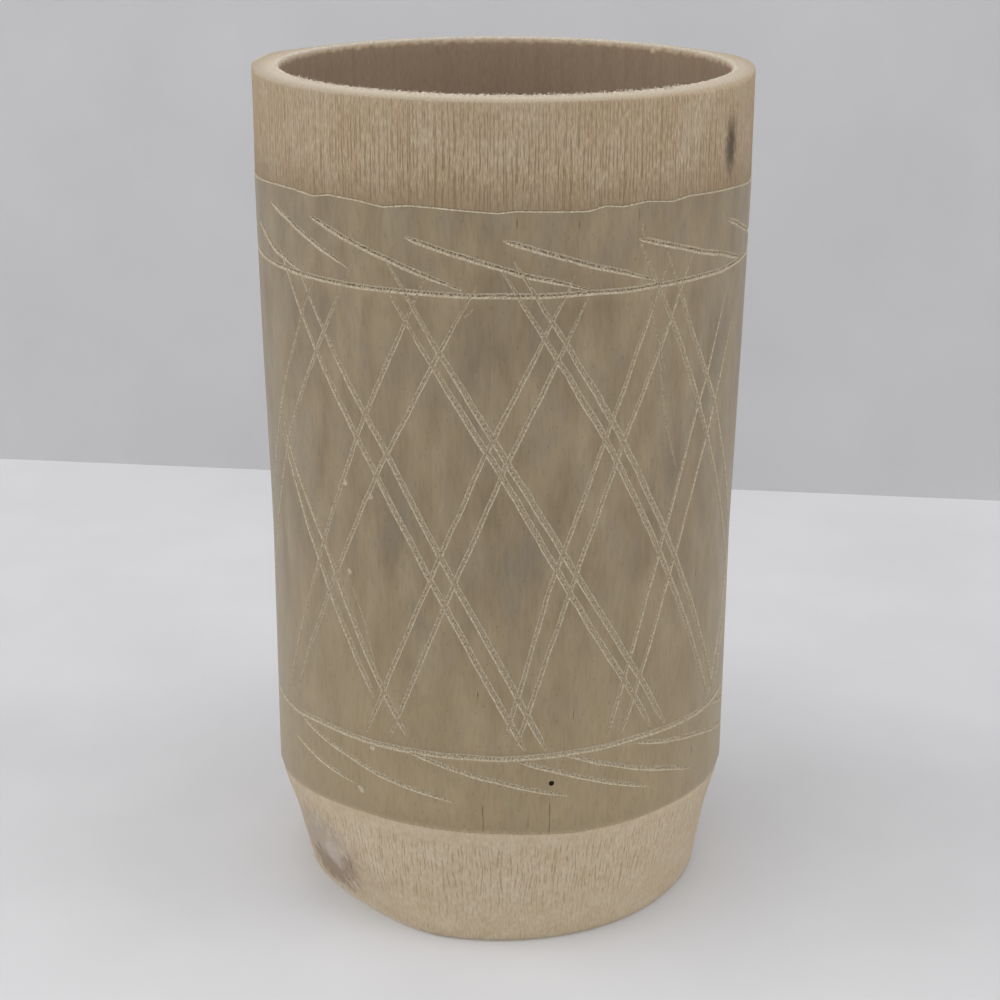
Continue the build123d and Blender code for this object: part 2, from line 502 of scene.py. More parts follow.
def pith():
    """Dry pith layer: dull brown and matt, with soft upright streaks, worn through to wood at the lip."""
    material, tree, place = new_material("brown bamboo pith")
    z = add_node(tree, "SeparateXYZ", {"Vector": place}, out="Z")
    streaks = body_noise(tree, place, 2.0, 16.0, detail=3.0)
    fuzz = body_noise(tree, place, 0.45, 1.2, detail=2.0)
    mixed = add_node(tree, "Mix", {"Factor": 0.5, "A": streaks, "B": fuzz})
    stops = ((0.3, "#8A7661"), (0.5, "#937F6A"), (0.7, "#9A8670"))
    colour = add_node(tree, "ValToRGB", {"Fac": mixed}, stops)

    # The worn edge is uneven, with one chip in it on the far side.
    waves = surface_noise(tree, place, 1.5, 1.5, detail=3.0)
    wavering = add_node(tree, "Math", {0: waves, 1: 1.2 / metre, 2: z}, operation="MULTIPLY_ADD")
    low = (height - 0.2) / metre
    high = (height + 0.6) / metre
    worn = add_node(tree, "MapRange", {"Value": wavering, "From Min": low, "From Max": high})
    chip_place = on_circle(135.3, inside_radius(height), height - 0.45) / metre
    from_chip = add_node(tree, "VectorMath", {0: place, 1: chip_place}, operation="DISTANCE", out="Value")
    chip_range = {"Value": from_chip, "From Min": 0.3 / metre, "From Max": 0.9 / metre}
    chip = add_node(tree, "MapRange", chip_range | {"To Min": 0.9, "To Max": 0.0})
    bare = add_node(tree, "Math", {0: worn, 1: chip}, operation="MAXIMUM")
    paled = add_node(tree, "MixRGB", {"Fac": bare, "Color1": colour, "Color2": linear("#CDBA9D")})
    end_surface(tree, paled, mixed, depth=0.12, roughness=0.8, specular=0.3)
    return material


# The bud knot's bed in the foot. The knot itself has its own section below.
bud_angle = -55.0
bud_middle = 9.7
bud_half_width = 6.5
bud_half_height = 6.0
bud_depth = 1.4

# Tints round the bud: distances across and up from its middle, half sizes, share and colour of each.
bud_tints = (
    (-1.0, -0.6, 10.5, 7.9, 0.75, "#A29485"),
    # Brown stain below the bud, partly painted contact shade along the foot's lower edge.
    (-2.0, -5.0, 7.4, 3.6, 0.85, "#917D66"),
    (5.0, -1.8, 2.4, 3.6, 0.6, "#917A62"),
    (1.9, -0.4, 2.9, 3.1, 0.9, "#BAABA0"),
    (-3.3, -1.3, 0.6, 0.6, 0.8, "#5C4A3C"),
)


def bud_point(across, up, out):
    """Point at distances across, up and out from the bud's middle, on the pared foot."""
    z = bud_middle + up
    angle = bud_angle + degrees(across / along(z, outside_line))
    return on_circle(angle, outside_radius(angle, z) + out, z)


def oval_plug(inset, top):
    """Oval plug in the foot, smaller by an inset, with its face at a height above the foot's surface."""
    mesh = bmesh.new()
    bmesh.ops.create_cone(mesh, cap_ends=True, cap_tris=True, segments=72, radius1=1, radius2=1, depth=2)
    divide_spokes(mesh, cuts=13)
    for vert in mesh.verts:
        across = vert.co.x * (bud_half_width - inset)
        up = vert.co.y * (bud_half_height - inset)
        vert.co = bud_point(across, up, top if vert.co.z > 0 else inset - bud_depth)
    face_outwards(mesh)
    return mesh


floor_seat = floor_low.z - seam
key_radius = floor_high.x + seam
lining_top = lining_high.z + seam
wall_mesh = turned(
    (
        (recess_radius, 0),
        (foot_radius, 0),
        (skin_foot_radius, skin_foot),
        (skin_foot_radius - skin_depth, skin_foot),
        (waist_radius - skin_depth, skin_foot + turn_in),
        (waist_radius - skin_depth, waist),
        (skin_high.x - skin_depth, skin_top),
        (rim_radius, skin_top),
        (rim_radius, height),
        (lip_inside, height),
        (inside_radius(lining_top), lining_top),
        (inside_radius(lining_top) + lining_depth, lining_top),
        (floor_radius + lining_depth, floor_edge),
        (key_radius, floor_edge),
        (key_radius, floor_seat),
        (recess_radius, floor_seat),
    ),
    columns=960,
)
for radius in (rim_radius, lip_inside):
    rounded(wall_mesh, radius, height, lip_round, segments=3)
for radius in (foot_radius, recess_radius):
    rounded(wall_mesh, radius, 0, foot_round, segments=3)
add_rows(wall_mesh, skin_top, height, outer_only=True, rows=24)
add_rows(wall_mesh, 0, skin_foot, outer_only=True, rows=24)
lip_spokes = [
    edge
    for edge in wall_mesh.edges
    if min(v.co.z for v in edge.verts) > height - 0.01 and edge.calc_length() > rim_wall / 2
]
bmesh.ops.subdivide_edges(wall_mesh, edges=lip_spokes, cuts=7, use_grid_fill=True)
for face in wall_mesh.faces:
    middle = face.calc_center_median()
    on_inside = middle.xy.length < inside_radius(middle.z) + margin
    if on_inside and lining_top < middle.z < height - lip_round:
        face.material_index = 2
    else:
        face.material_index = 0 if middle.z > waist else 1
settle(wall_mesh)
fibre_relief = 0.04
fibre_width = 0.4
band_fibre = 3.4  # lengths of the ridges in the band below the lip and on the foot
foot_fibre = 1.6
worn_height = 5.0
worn_width = 2.4
even_wear = 0.06
lip_wear = ((0.5, 58, 42), (-0.6, -98, 30), (-0.45, 98, 30))  # depth, angle and reach of each place
burr_height = 0.30
burr_unevenness = 0.26
burr_grain = 0.32
for vert in wall_mesh.verts:
    angle, radius, z = polar(vert.co)
    in_band = along(angle, skin_top_edge) + 0.2 < z < height - 0.5
    on_foot = 0.8 < z < along(angle, skin_foot_edge) - 0.5
    if (in_band or on_foot) and radius > outside_radius(angle, z) - 0.4:
        radius += fibre_relief * grain_relief(vert.co, fibre_width, band_fibre if in_band else foot_fibre)

    # The lip is worn round in front on one side and stands a little high at both sides, and the saw left a
    # low burr along its inner edge.
    inner_edge = lip_inside + opening_shift(angle, z)
    if z > height - worn_height and radius > inner_edge - 0.2:
        near_top = (z - height + worn_height) / worn_height
        near_outside = max(0.0, 1 - (rim_radius - radius) / worn_width)
        wear = even_wear
        for depth, worn_angle, reach in lip_wear:
            wear += depth * hump(angle, worn_angle, reach)
        drop = wear * near_outside**2 * near_top**2
        ragged = burr_height + burr_unevenness * noise.noise(on_circle(angle, radius / burr_grain, 0))
        burr = ragged * hump(radius, inner_edge + 0.4, 1.1) * hump(z, height, 1.5)
        radius -= 0.3 * drop
        z += burr - drop
    vert.co = on_circle(angle, radius, z)
pith_look = pith()
wall_looks = (scraped_fibre(), pared_fibre(), pith_look)
wall_mesh = cut_away(wall_mesh, [oval_plug(0.0, 1.0)], wall_looks)

# Torn fibres stand up along the lip's inner edge, most of them on the near side.
torn = Random(5)
torn_count = 520
near_side = (-62, 46)
fringe = bmesh.new()
for number in range(torn_count):
    angle = torn.uniform(-180, 180) if number % 3 == 0 else torn.uniform(*near_side)
    root_radius = lip_inside + opening_shift(angle, height) + torn.uniform(0.15, 1.0)
    root = on_circle(angle, root_radius, height + 0.15)
    lean = Matrix.Rotation(radians(angle + torn.uniform(-90, 90)), 4, "Z")
    lean = lean @ Matrix.Rotation(radians(torn.uniform(-45, 45)), 4, "X")
    bmesh.ops.create_cone(
        fringe,
        cap_ends=True,
        segments=3,
        radius1=0.05,
        radius2=0.02,
        depth=torn.uniform(0.6, 1.1),
        matrix=Matrix.Translation(root) @ lean,
    )
fringe_data = bpy.data.meshes.new("fringe")
fringe.to_mesh(fringe_data)
fringe.free()
wall_mesh.from_mesh(fringe_data)
bpy.data.meshes.remove(fringe_data)
piece_from("culm_wall_wood", wall_mesh, wall_looks, "culm_wall")

# Floor: the node's cross wall, a thin woody disc that grew across the culm and closes it.
# It is keyed into the wall all round and curls up at its edge. It is left as it grew, matt and rough.
floor_crown = 0.5
floor_fillet = 2.5
swell_height = 0.25
swell_width = 8.0


def cross_wall():
    """Bare cross wall of the culm: tan, matt and slightly pitted, darker towards its edge."""
    material, tree, place = new_material("bare bamboo cross wall")
    spread = add_node(tree, "Mapping", {"Vector": place, "Scale": grain(2.2, 2.2)})
    mottle = add_node(tree, "TexNoise", {"Vector": spread, "Scale": 1.0, "Detail": 5.0, "Roughness": 0.65})
    stops = ((0.3, "#7C674C"), (0.5, "#9A8464"), (0.7, "#B09A79"))
    colour = add_node(tree, "ValToRGB", {"Fac": mottle}, stops)
    flat = add_node(tree, "Mapping", {"Vector": place, "Scale": (metre, metre, 0.0)})
    from_axis = add_node(tree, "VectorMath", {0: flat}, operation="LENGTH", out="Value")
    darkened = tint_by(tree, colour, "#756048", from_axis, 18.0, floor_radius, shares=(0.0, 0.6))
    end_surface(tree, darkened, mottle, depth=0.25, roughness=0.85, specular=0.25)
    return material


floor_curl = floor_high.z
floor_mesh = turned(
    (
        (0, floor_low.z + floor_crown),
        (recess_radius, floor_low.z),
        (floor_high.x, floor_low.z),
        (floor_high.x, floor_edge - seam),
        (floor_radius + lining_depth - seam, floor_edge - seam),
        (inside_radius(floor_curl) + lining_depth - seam, floor_curl),
        (inside_radius(floor_curl), floor_curl),
        (floor_radius, floor_edge),
        (0, floor_edge + floor_crown),
    ),
    columns=180,
    closed=False,
)
rounded(floor_mesh, floor_radius, floor_edge, floor_fillet, segments=6)
divide_spokes(floor_mesh, cuts=22)
settle(floor_mesh)
for vert in floor_mesh.verts:
    radius = hypot(vert.co.x, vert.co.y)
    swell = noise.fractal(Vector((vert.co.x / swell_width, vert.co.y / swell_width, 0.0)), 0.7, 2.0, 3)
    vert.co.z += swell_height * swell * hump(radius, 0, recess_radius)
piece_from("floor_cross_wall", floor_mesh, (cross_wall(),), "floor_diaphragm")

# Lining: the thin brown pith layer on the culm's inside, from the floor up to just under the lip.
# It grew on the wall and is left on, streaked up and down; a film of it goes on over the wall's top edge.
lining_edge = lining_top - 0.004  # close under the wall's shoulder, so that no line shows there
lining_mesh = turned(
    (
        (inside_radius(lining_low.z), lining_low.z),
        (inside_radius(lining_low.z) + lining_depth - seam, lining_low.z),
        (inside_radius(lining_edge) + lining_depth - seam, lining_edge),
        (inside_radius(lining_edge), lining_edge),
    ),
    columns=500,
)
add_rows(lining_mesh, lining_low.z, lining_edge, outer_only=False, rows=44)
ripple_depth = 0.08
for vert in lining_mesh.verts:
    angle, radius, z = polar(vert.co)
    if radius < inside_radius(z) + margin and z < lining_edge - margin:
        ripple = grain_relief(vert.co, across=2.2, run=25)
        vert.co = on_circle(angle, radius + ripple_depth * ripple, z)
settle(lining_mesh)
piece_from("pith_lining", lining_mesh, (pith_look,), "inner_lining")

# Bud knot: the cut-off bud of the node, an oval plug of harder wood in the pared foot.
# It was cut flush with the foot by the same knife, and its brown runs on into the wall's wood.


def bud_wood():
    """Cut bud wood: dense and smooth, without dashes, and tinted as the wood round it is."""
    material, tree, place = new_material("cut bamboo bud wood")
    mottle = surface_noise(tree, place, 1.2, 1.5, detail=3.0)
    wood = add_node(tree, "ValToRGB", {"Fac": mottle}, ((0.3, "#B5A58D"), (0.7, "#C2B29A")))
    tinted = tinted_and_shaded_by_bud(tree, place, wood)
    end_surface(tree, tinted, mottle, depth=0.08, roughness=0.6, specular=0.5)
    return material


bud_mesh = oval_plug(seam, 0.02)
dent_depth = 0.06
dent_width = 2.6
for vert in bud_mesh.verts:
    angle, radius, z = polar(vert.co)
    if radius > outside_radius(angle, z) - margin:
        dent = noise.fractal(vert.co / dent_width, 0.8, 2.0, 3)
        vert.co = on_circle(angle, radius + dent_depth * dent, z)
piece_from("bud_knot", bud_mesh, (bud_wood(),), "bud_scar")

# Skin: the olive outer layer of the culm, left on between the lip and the foot.
# Its upper edge is a knife cut, and its lower edge runs out in the foot's bevel. Lines are incised in it
# freehand: two rings, slanted strokes beyond them, and crossed pairs of diagonals between them.
chamfer = 0.24
upper_ring = 105.5
lower_ring_line = (
    (-180, 34.2), (-110, 33.6), (-70, 33.2), (-60, 33.4), (-50, 34.2), (-20, 34.2), (0, 34.1),
    (20, 34.5), (35, 34.8), (50, 34.4), (60, 34.0), (110, 33.8), (180, 34.2),
)

# Cross sections of the cuts: half the width, the depth, half the floor's width, the floor's shift upwards,
# and the lengths over which the upper and the lower end run out.
broad_cut = (0.57, 0.12, 0.32, 0.0, 22.0, 3.0)
narrow_cut = (0.42, 0.12, 0.2, 0.0, 14.0, 4.0)
slant_cut = (0.48, 0.14, 0.16, 0.08, 1.8, 6.0)
faint_cut = (0.48, 0.10, 0.25, 0.04, 3.0, 5.0)
ring_cut = (0.42, 0.14, 0.15, 0.06)
faint_ring_cut = (0.46, 0.10, 0.24, 0.04)
thin_cut = (0.22, 0.10, 0.12, 0.0, 3.0, 3.0)
crack_cut = (0.06, 0.12, 0.03, 0.0, 1.0, 1.0)
cutter_rise = 0.2  # height of the cutters above the skin
cut_raggedness = 0.16
skin_look, edge_look, falling_look, rising_look, dots_look, faint_look, crack_fill_look, dark_look = range(8)

# Strokes as angles and heights, each from its upper end down.
upper_strokes = [
    [(-74, 110.4), (-61.6, 107.6), (-50, 105.9)],
    [(-63.5, 114.6), (-55, 113.0), (-35, 107.9)],
    [(-46.5, 114.3), (-25, 109.8), (-8, 106.2)],
    [(-21, 113.3), (0, 109.3), (19, 106.0)],
    [(0, 113.4), (15, 110.3), (35, 106.4)],
    [(30, 112.6), (50, 109.0), (72, 105.6)],
    [(60, 112.7), (73, 109.8), (95, 106.0)],
]
lower_strokes = [
    [(-62, 29.0), (-45, 27.0), (-37, 26.2)],
    [(-58, 33.2), (-49, 31.8), (-40, 30.6), (-30, 28.9), (-11, 26.5)],
    [(-23, 34.1), (-5, 31.0), (16.5, 27.2)],
    [(3.5, 33.9), (20, 30.0), (39, 25.6)],
    [(15, 34.2), (30, 30.6), (55, 25.1)],
    [(34, 33.9), (58, 30.3), (72, 27.8), (80, 26.6)],
]
falling_diagonals = [
    [(-59.5, 108.5), (-30, 78.8), (-5, 49.0), (6, 35.3)],
    [(-50.5, 105.5), (-26.5, 81.5), (0, 49.4), (10.8, 35.3)],
    [(-25.5, 106.0), (0, 79.2), (20, 55.8), (39, 35.8)],
    [(-25, 109.4), (-1, 83.6), (20, 60.4), (43.5, 35.5)],
    [(0, 109.0), (22.5, 85.0), (39, 65.1), (63, 35.2)],
    [(2.5, 110.4), (24.5, 87.0), (42, 66.5), (67, 35.4)],
    [(30.5, 112.0), (40, 100.5), (51, 86.0), (64, 69.5), (93, 35.2)],
    [(38, 110.2), (47, 97.5), (57, 86.5), (64, 77.5), (99, 35.0)],
    [(-64, 84.5), (-60, 78.5), (-46, 65.0), (-33, 48.5), (-22.5, 36.5)],
    [(-63, 79.5), (-58, 73.5), (-47, 60.3), (-31, 41.5)],
]
rising_diagonals = [
    [(-45.5, 105.5), (-60, 87.5), (-98, 35.4)],
    [(-34, 108.5), (-44, 96.6), (-58.5, 80.0), (-91, 35.2)],
    [(-15.8, 108.6), (-33, 84.5), (-59, 45.0), (-66, 35.0)],
    [(-5.5, 106.8), (-28, 79.0), (-56, 42.0), (-61, 35.2)],
    [(15.5, 108.2), (-4, 81.5), (-33.5, 35.5)],
    [(18.5, 105.0), (1, 80.5), (-27, 35.7)],
    [(38.5, 109.5), (24, 85.0), (10.5, 60.0), (1, 36.5)],
    [(46, 109.7), (28, 83.0), (15, 59.0), (3.5, 35.7)],
    [(61, 101.6), (48, 81.5), (37, 59.5), (26, 36.0)],
    [(65.5, 96.5), (51, 74.0), (40, 54.5), (30, 36.0)],
]
thin_strokes = [
    [(-38.5, 61.0), (-33.5, 54.0), (-30.5, 47.0)],
    [(33, 107.0), (34.5, 101.0), (39, 92.0)],
    [(36.5, 95.5), (40, 83.5), (44, 77.0)],
    [(-6, 103.7), (-8, 102.3)],
    [(30.6, 115.4), (31.5, 112.8)],
]

# On the side away from the photograph the same strokes go on, spaced as on the near side.
freehand = Random(11)
for start in range(86, 240, 25):
    lift = freehand.uniform(-0.6, 0.6)
    upper_strokes.append([(start, 113.3 + lift), (start + 20, 109.4 + lift), (start + 38, 106.1)])
for start in range(66, 250, 22):
    lift = freehand.uniform(-0.8, 0.8)
    lower_strokes.append([(start, 33.4), (start + 18, 30.2 + lift), (start + 37, 26.6 + lift)])
pair_gap = 4.5  # degrees between the two lines of a pair
for diagonals, tops, upper_z, half_run, run, lower_z in (
    (falling_diagonals, range(88, 210, 30), 107.5, 31, 64, 35.3),
    (rising_diagonals, range(112, 270, 31), 107.0, -24, -49, 35.5),
):
    for top in tops:
        for shift in (0.0, pair_gap):
            angle = top + shift + freehand.uniform(-1.4, 1.4)
            bend = freehand.uniform(-1.0, 1.0)
            middle = (angle + half_run + bend, 72.0)
            diagonals.append([(angle, upper_z + bend), middle, (angle + run - bend, lower_z)])


def stroke_cutter(points, section, edge, floor, seed):
    """Bar along a freehand stroke, with a ragged wedge section that cuts a shallow trough in the skin."""
    half_width, depth, half_floor, floor_shift, upper_end, lower_end = section
    length = 0.0
    angles = [(0.0, points[0][0])]
    heights = [(0.0, points[0][1])]
    for (angle_a, z_a), (angle_b, z_b) in zip(points, points[1:]):
        length += hypot(radians(angle_b - angle_a) * waist_radius, z_b - z_a)
        angles.append((length, angle_b))
        heights.append((length, z_b))
    step = 0.8
    end_width = 0.4  # shares of the width and depth that are left at the ends
    end_depth = 0.3
    upper_end = min(upper_end, length / 3)
    lower_end = min(lower_end, length / 3)
    mesh = bmesh.new()
    bmesh.ops.create_cube(mesh, size=2)
    long_edges = [e for e in mesh.edges if abs(e.verts[0].co.x - e.verts[1].co.x) > 1]
    bmesh.ops.subdivide_edges(mesh, edges=long_edges, cuts=max(2, int(length / step)), use_grid_fill=True)
    for face in mesh.faces:
        face.material_index = floor if face.calc_center_median().z < -0.9 else edge
    for vert in mesh.verts:
        place = (vert.co.x + 1) / 2 * length
        side = vert.co.y
        low = vert.co.z < 0
        angle = along(place, angles)
        z = along(place, heights)
        run_across = radians(along(place + 1, angles) - along(place - 1, angles)) * waist_radius
        run_up = along(place + 1, heights) - along(place - 1, heights)
        run = hypot(run_across, run_up)
        fade = min(1.0, (place + 0.15) / upper_end, (length - place + 0.15) / lower_end)
        deepening = min(1.0, fade * max(upper_end, lower_end) / 4)
        ragged = 1 + cut_raggedness * noise.noise(Vector((place / 1.3, seed, 3 * side)))
        width = half_width * (end_width + (1 - end_width) * fade) * ragged
        floor_width = half_floor * (end_width + (1 - end_width) * fade)
        pressure = 1 + 0.2 * noise.noise(Vector((place / 7, seed, 9)))
        cut_depth = depth * (end_depth + (1 - end_depth) * deepening) * pressure
        slow_shake = 0.16 * noise.noise(Vector((place / 5, seed, 0)))
        shake = slow_shake + 0.05 * noise.noise(Vector((place / 1.2, seed, 5)))
        if low:
            offset = side * floor_width + floor_shift * fade + shake
        else:
            flare = (width - floor_width) * cutter_rise / max(cut_depth, cutter_rise)
            offset = side * (width + flare) + shake
        angle -= degrees(offset * run_up / run / waist_radius)
        z += offset * run_across / run
        vert.co = on_circle(angle, outside_radius(angle, z) + (-cut_depth if low else cutter_rise), z)
    face_outwards(mesh)
    return mesh


def ring_cutter(section, ring_line, floor, seed):
    """Closed ring with a wedge section that cuts a shallow trough round the skin at a wavy height."""
    half_width, depth, half_floor, floor_shift = section
    wide = half_width + (half_width - half_floor) * cutter_rise / depth
    mesh = turned(
        (
            (waist_radius - depth, floor_shift - half_floor),
            (waist_radius - depth, floor_shift + half_floor),
            (waist_radius + cutter_rise, wide),
            (waist_radius + cutter_rise, -wide),
        ),
        columns=300,
    )
    for face in mesh.faces:
        face.material_index = floor if max(v.co.xy.length for v in face.verts) < waist_radius else edge_look
    for vert in mesh.verts:
        angle, radius, up = polar(vert.co)
        out = radius - waist_radius
        ragged = 1 + cut_raggedness * noise.noise(Vector((angle / 2.2, seed, up)))
        shake = 0.12 * noise.noise(on_circle(angle, 6.0, seed))
        z = along(angle, ring_line) + up * ragged + shake
        vert.co = on_circle(angle, outside_radius(angle, z) + out, z)
    return mesh


def dried_skin():
    """Dried bamboo skin: olive brown and satin, with faint upright streaks, dark specks and grey bloom."""
    material, tree, place = new_material("dried bamboo skin")
    z = add_node(tree, "SeparateXYZ", {"Vector": place}, out="Z")

    # Soft upright clouds of tone, some of them with a grey-green bloom, and paler towards the foot.
    clouds = body_noise(tree, place, 3.6, 11.0, detail=3.0)
    stops = ((0.3, "#817156"), (0.5, "#8E7D61"), (0.7, "#98886C"))
    colour = add_node(tree, "ValToRGB", {"Fac": clouds}, stops)
    apart = {"Vector": place, "Location": (31.0, 7.0, 0.0), "Scale": grain(2.8, 9.0)}
    bloom_noise = add_node(tree, "TexNoise", {"Vector": add_node(tree, "Mapping", apart), "Scale": 1.0})
    bloomed = tint_by(tree, colour, "#857C6A", bloom_noise, 0.48, 0.66, shares=(0.0, 0.4))
    lower = tint_by(tree, bloomed, "#A08E6D", z, 22.0 / metre, 62.0 / metre, shares=(0.65, 0.0))

    # Dark soft smudges along the grain: angle, height, half the width and half the height of each.
    smudges = (
        (-2.5, 114.6, 1.9, 2.4),
        (-46, 100, 4.5, 5.5),
        (-6, 98, 4.0, 6.0),
        (56, 94, 4.5, 8.0),
        (-25, 73, 4.5, 9.0),
        (42, 77, 4.0, 7.0),
        (3, 65, 4.0, 8.0),
        (-20, 55.5, 2.2, 5.0),
    )
    wisps = surface_noise(tree, place, 1.0, 4.0, detail=3.0)
    smudge_end = 1.9
    nearest = smudge_end
    for angle, smudge_height, half_width, half_height in smudges:
        middle = on_circle(angle, outside_radius(angle, smudge_height), smudge_height)
        reach = spot_reach(tree, place, middle, (half_width, half_height), wisps, raggedness=1.4)
        nearest = add_node(tree, "Math", {0: reach, 1: nearest}, operation="MINIMUM")
    smudged = tint_by(tree, lower, "#6E6454", nearest, 0.7, smudge_end, shares=(0.42, 0.0))

    # Faint short streaks along the grain, and sparse small specks.
    streaks = surface_noise(tree, place, 0.5, 2.6, detail=3.0)
    streaked = tint_by(tree, smudged, "#64573F", streaks, 0.28, 0.55, shares=(0.2, 0.0))
    tiny = unrolled(tree, place, 2.6, 4.4)
    specks = add_node(tree, "TexVoronoi", {"Vector": tiny, "Scale": 1.0}, voronoi_dimensions="2D")
    specked = tint_by(tree, streaked, "#4F4638", specks, 0.02, 0.07, shares=(0.3, 0.0))

    # The skin thins out at its lower edge, so the pale wood shows through it there.
    above_edge = add_node(tree, "Attribute", attribute_name="above_edge", out="Fac")
    wavering = add_node(tree, "Math", {0: streaks, 1: 2.0, 2: above_edge}, operation="MULTIPLY_ADD")
    faded = tint_by(tree, specked, "#B5A07F", wavering, 0.8, 1.6, shares=(0.8, 0.0))
    end_surface(tree, faded, streaks, depth=0.02, roughness=0.38, specular=0.5)
    return material


def cut_edge():
    """Clean knife cut through the skin: pale, dry and slightly fibrous."""
    material, tree, place = new_material("knife cut bamboo")
    fibres = surface_noise(tree, place, 0.28, 0.36, detail=2.0)
    stops = ((0.34, "#9E9078"), (0.5, "#B2A58D"), (0.66, "#C4B9A3"))
    colour = add_node(tree, "ValToRGB", {"Fac": fibres}, stops)
    end_surface(tree, colour, fibres, depth=0.05, roughness=0.8, specular=0.25)
    return material


def cut_floor(name, lean):
    """Floor of a scraped groove: pale torn fibres along it, at a lean in degrees, with dark gaps."""
    material, tree, place = new_material(name)
    flat = unrolled(tree, place, 1.0, 1.0)
    torn = {"Vector": flat, "Rotation": (0, 0, radians(lean)), "Scale": (0.4, 0.15, 1.0)}
    cells = {"Vector": add_node(tree, "Mapping", torn, vector_type="TEXTURE"), "Scale": 1.0, "Detail": 2.0}
    fibres = add_node(tree, "TexNoise", cells, noise_dimensions="2D")
    stops = ((0.34, "#80735C"), (0.5, "#9A8C73"), (0.68, "#B4A790"))
    colour = add_node(tree, "ValToRGB", {"Fac": fibres}, stops)
    end_surface(tree, colour, fibres, depth=0.05, roughness=0.8, specular=0.25)
    return material


def shaded_cut_dots(name, dark, middle, pale):
    """Bottom of a deeper groove: a darker dotted line of the torn ends of bundles, whose dark dots are
    painted shade in the hollow.
    """
    material, tree, place = new_material(name)
    fibres = surface_noise(tree, place, 0.26, 0.3, detail=0.0)
    colour = add_node(tree, "ValToRGB", {"Fac": fibres}, ((0.38, dark), (0.5, middle), (0.6, pale)))
    end_surface(tree, colour, fibres, depth=0.06, roughness=0.85, specular=0.2)
    return material


def dark_fill(name, dark, pale):
    """Dark and matt fill of a drying crack or a borer's hole, a little paler in patches."""
    material, tree, place = new_material(name)
    grit = surface_noise(tree, place, 0.4, 1.2, detail=2.0)
    colour = add_node(tree, "ValToRGB", {"Fac": grit}, ((0.35, dark), (0.65, pale)))
    end_surface(tree, colour, grit, depth=0.05, roughness=0.9, specular=0.1)
    return material


cracks = (
    [(-4.0, 26.5), (-3.9, 21.6)],
    [(11.7, 26.7), (11.9, 20.6)],
    [(6.7, 23.8), (6.7, 22.4)],
    [(-5.2, 45.2), (-5.2, 43.8)],
    [(17.5, 42.0), (17.4, 40.0)],
    [(30.0, 117.0), (30.1, 115.4)],
    [(3.0, 116.6), (3.0, 115.0)],
    [(16.0, 115.8), (16.0, 114.8)],
    [(53.8, 59.2), (53.8, 57.8)],
    [(55.0, 28.9), (55.1, 27.4)],
)
scrapes = (
    [(-36.3, 25.9), (-34.6, 25.1)],
    [(-32.4, 33.4), (-31.4, 32.9)],
    [(-38.4, 61.4), (-37.4, 60.9)],
    [(-31.4, 74.2), (-30.5, 73.8)],
    [(-38.4, 75.5), (-37.5, 75.1)],
)
pinhole_angle = 12.2
pinhole_height = 29.7
pinhole_radius = 0.42
pinhole_depth = 0.45

cutters = []
for strokes, section, floor in (
    (upper_strokes, slant_cut, dots_look),
    (lower_strokes, faint_cut, faint_look),
    (falling_diagonals, broad_cut, falling_look),
    (rising_diagonals, narrow_cut, rising_look),
    (thin_strokes, thin_cut, falling_look),
    (scrapes, broad_cut, edge_look),
):
    for stroke in strokes:
        cutters.append(stroke_cutter(stroke, section, edge_look, floor, seed=2.7 * len(cutters)))
for crack in cracks:
    cutters.append(stroke_cutter(crack, crack_cut, crack_fill_look, crack_fill_look, seed=2.7 * len(cutters)))
cutters.append(ring_cutter(ring_cut, ((-180, upper_ring), (180, upper_ring)), dots_look, seed=1.5))
cutters.append(ring_cutter(faint_ring_cut, lower_ring_line, faint_look, seed=4.5))
pinhole = bmesh.new()
inward = Matrix.Rotation(radians(pinhole_angle), 4, "Z") @ Matrix.Rotation(radians(90), 4, "X")
pinhole_surface = outside_radius(pinhole_angle, pinhole_height)
inward = Matrix.Translation(on_circle(pinhole_angle, pinhole_surface, pinhole_height)) @ inward
bmesh.ops.create_cone(
    pinhole,
    cap_ends=True,
    segments=20,
    radius1=pinhole_radius,
    radius2=pinhole_radius,
    depth=2 * pinhole_depth,
    matrix=inward,
)
for face in pinhole.faces:
    face.material_index = dark_look
cutters.append(pinhole)

skin_bed = skin_depth - seam
skin_mesh = turned(
    (
        (skin_foot_radius, skin_low.z),
        (waist_radius, skin_low.z + turn_in),
        (waist_radius, waist),
        (upper_body_radius, upper_body),
        (skin_high.x, skin_high.z - chamfer),
        (skin_high.x - chamfer, skin_high.z),
        (skin_high.x - skin_bed, skin_high.z),
        (waist_radius - skin_bed, waist),
        (waist_radius - skin_bed, skin_low.z + turn_in),
        (skin_foot_radius - skin_bed, skin_low.z),
    ),
    columns=360,
)
for face in skin_mesh.faces:
    middle = face.calc_center_median()
    on_chamfer = middle.z > skin_high.z - chamfer and middle.xy.length > skin_high.x - chamfer
    face.material_index = edge_look if on_chamfer else skin_look
add_rows(skin_mesh, skin_low.z + turn_in, waist, outer_only=True, rows=17)
add_rows(skin_mesh, waist, upper_body, outer_only=True, rows=13)
add_rows(skin_mesh, upper_body, skin_high.z, outer_only=True, rows=12)
settle(skin_mesh)
# These give the cracks and the borer hole a dark, matt fill.
crack_look = dark_fill("dark fill in drying cracks", "#61543F", "#807259")
hole_look = dark_fill("dark fill in a borer hole", "#2C241A", "#4A3F31")
falling_floor = cut_floor("torn fibre in falling cuts", -59)
rising_floor = cut_floor("torn fibre in rising cuts", 66)
